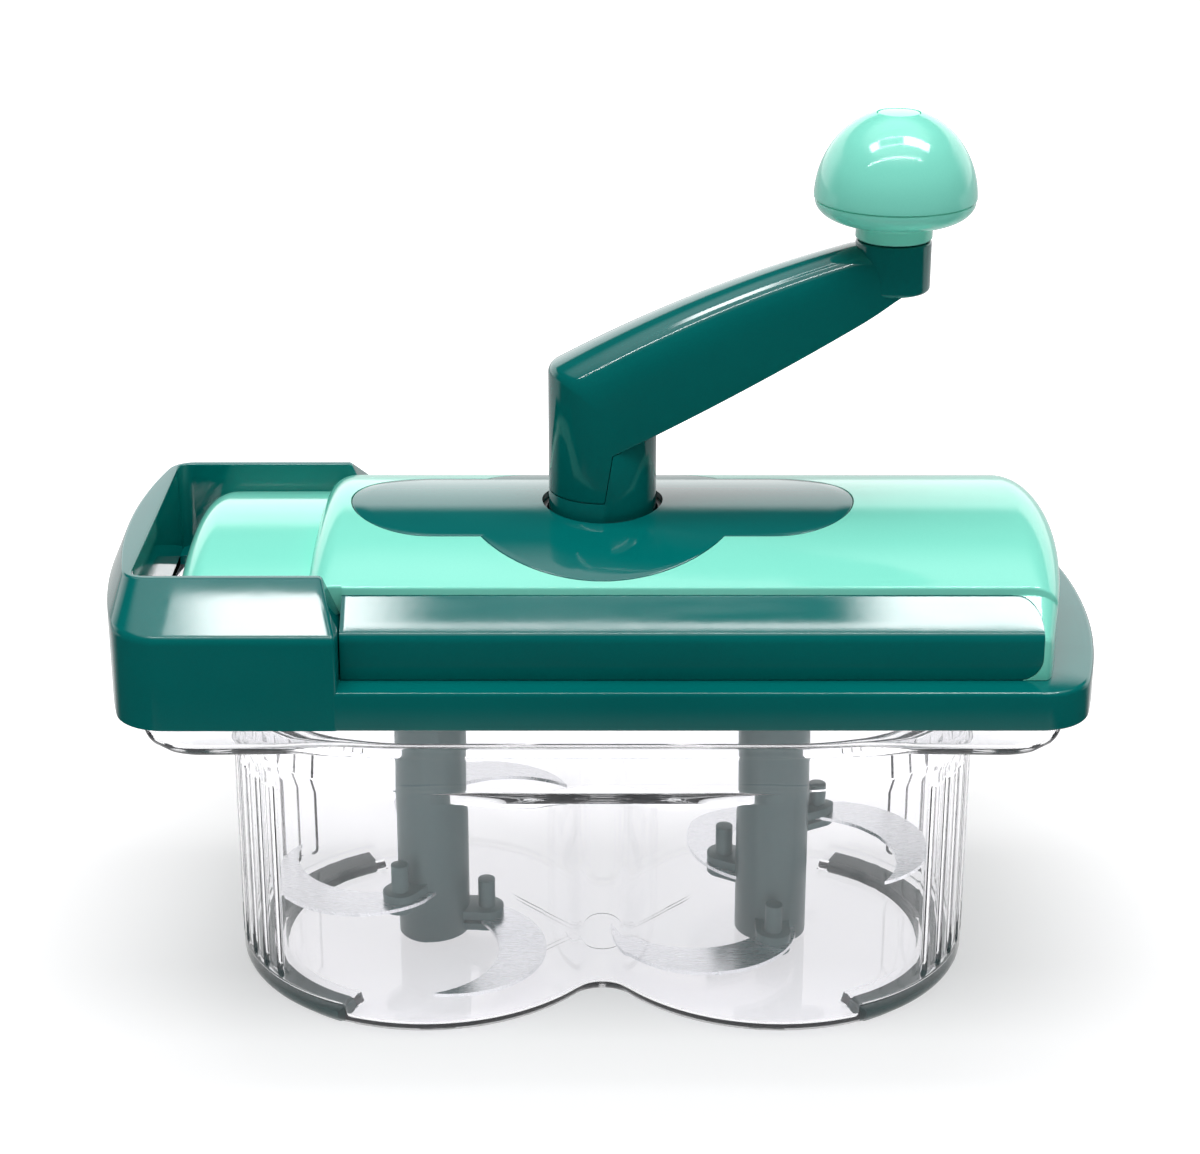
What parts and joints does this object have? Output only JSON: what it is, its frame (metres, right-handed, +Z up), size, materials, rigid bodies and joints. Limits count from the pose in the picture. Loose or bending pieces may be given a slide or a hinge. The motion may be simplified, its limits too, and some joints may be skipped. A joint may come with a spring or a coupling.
{
  "type": "crank food chopper",
  "caption": "Hand cranked food chopper: a clear bowl with round lobes, sickle blades on upright shafts, a geared drive unit in a frame with a handle, and a crank with a round knob.",
  "frame": {"origin": "on the table under the middle of the bowl, on the crank's axis", "axes": "+X along the bowl, away from the carrying handle; +Z up; the front of the picture looks along +Y"},
  "size_m": [0.263, 0.124, 0.2394],
  "materials": {
    "clear_plastic": "clear moulded plastic, polished",
    "foot_rubber": "dark teal, soft",
    "blade_steel": "ground stainless steel",
    "shaft_plastic": "dark grey teal, satin",
    "teal_plastic": "dark teal, high gloss",
    "mint_plastic": "mint green, high gloss",
    "gear_plastic": "natural white acetal, satin",
    "black_plastic": "black, satin",
    "screw_steel": "plated steel"
  },
  "bodies": {
    "bowl_body": {"bowl": "clear_plastic", "foot_left": "foot_rubber", "foot_right": "foot_rubber", "pivot_pin_left": "blade_steel", "pivot_pin_right": "blade_steel"},
    "left_blades": {"blade_shaft_left": "shaft_plastic", "blade_left_low": "blade_steel", "blade_left_mid": "blade_steel", "blade_left_top": "blade_steel"},
    "right_blades": {"blade_shaft_right": "shaft_plastic", "blade_right_low": "blade_steel", "blade_right_mid": "blade_steel", "blade_right_top": "blade_steel"},
    "frame_body": {"frame": "teal_plastic"},
    "drive_unit": {"housing_base": "teal_plastic", "top_cover": "mint_plastic", "gear_inlay": "teal_plastic", "hub_collar": "black_plastic", "gear_plate": "gear_plastic", "plate_screws": "screw_steel", "housing_screws": "screw_steel"},
    "left_pinion": {"pinion_left": "gear_plastic"},
    "right_pinion": {"pinion_right": "gear_plastic"},
    "crank": {"crank_shaft": "gear_plastic", "drive_gear": "gear_plastic", "crank_hub": "teal_plastic", "crank_arm": "teal_plastic", "arm_underside": "teal_plastic", "crank_screw": "screw_steel", "knob_pin": "screw_steel", "knob_screw": "screw_steel"},
    "knob": {"knob_dome": "mint_plastic", "knob_base": "mint_plastic", "knob_disc": "mint_plastic"}
  },
  "joints": [
    {"name": "frame_lift", "type": "slide", "parent": "bowl_body", "child": "frame_body", "axis": [0, 0, 1], "range_m": [0, 0.05]},
    {"name": "unit_lift", "type": "slide", "parent": "frame_body", "child": "drive_unit", "axis": [0, 0, 1], "range_m": [0, 0.045]},
    {"name": "crank_turn", "type": "hinge", "parent": "drive_unit", "child": "crank", "pos_m": [0, 0, 0.12], "axis": [0, 0, 1], "continuous": true},
    {"name": "knob_spin", "type": "hinge", "parent": "crank", "child": "knob", "pos_m": [0.0755, 0, 0.21], "axis": [0, 0, 1], "continuous": true},
    {"name": "left_pinion_spin", "type": "hinge", "parent": "drive_unit", "child": "left_pinion", "pos_m": [-0.048, 0, 0.115], "axis": [0, 0, 1], "continuous": true},
    {"name": "right_pinion_spin", "type": "hinge", "parent": "drive_unit", "child": "right_pinion", "pos_m": [0.048, 0, 0.115], "axis": [0, 0, 1], "continuous": true},
    {"name": "left_blades_spin", "type": "hinge", "parent": "bowl_body", "child": "left_blades", "pos_m": [-0.048, 0, 0.05], "axis": [0, 0, 1], "continuous": true},
    {"name": "right_blades_spin", "type": "hinge", "parent": "bowl_body", "child": "right_blades", "pos_m": [0.048, 0, 0.05], "axis": [0, 0, 1], "continuous": true}
  ],
  "couplings": [
    {"joint": "left_pinion_spin", "follows": "crank_turn", "ratio": -2.5556},
    {"joint": "right_pinion_spin", "follows": "crank_turn", "ratio": -2.5556},
    {"joint": "left_blades_spin", "follows": "crank_turn", "ratio": -2.5556},
    {"joint": "right_blades_spin", "follows": "crank_turn", "ratio": -2.5556}
  ]
}
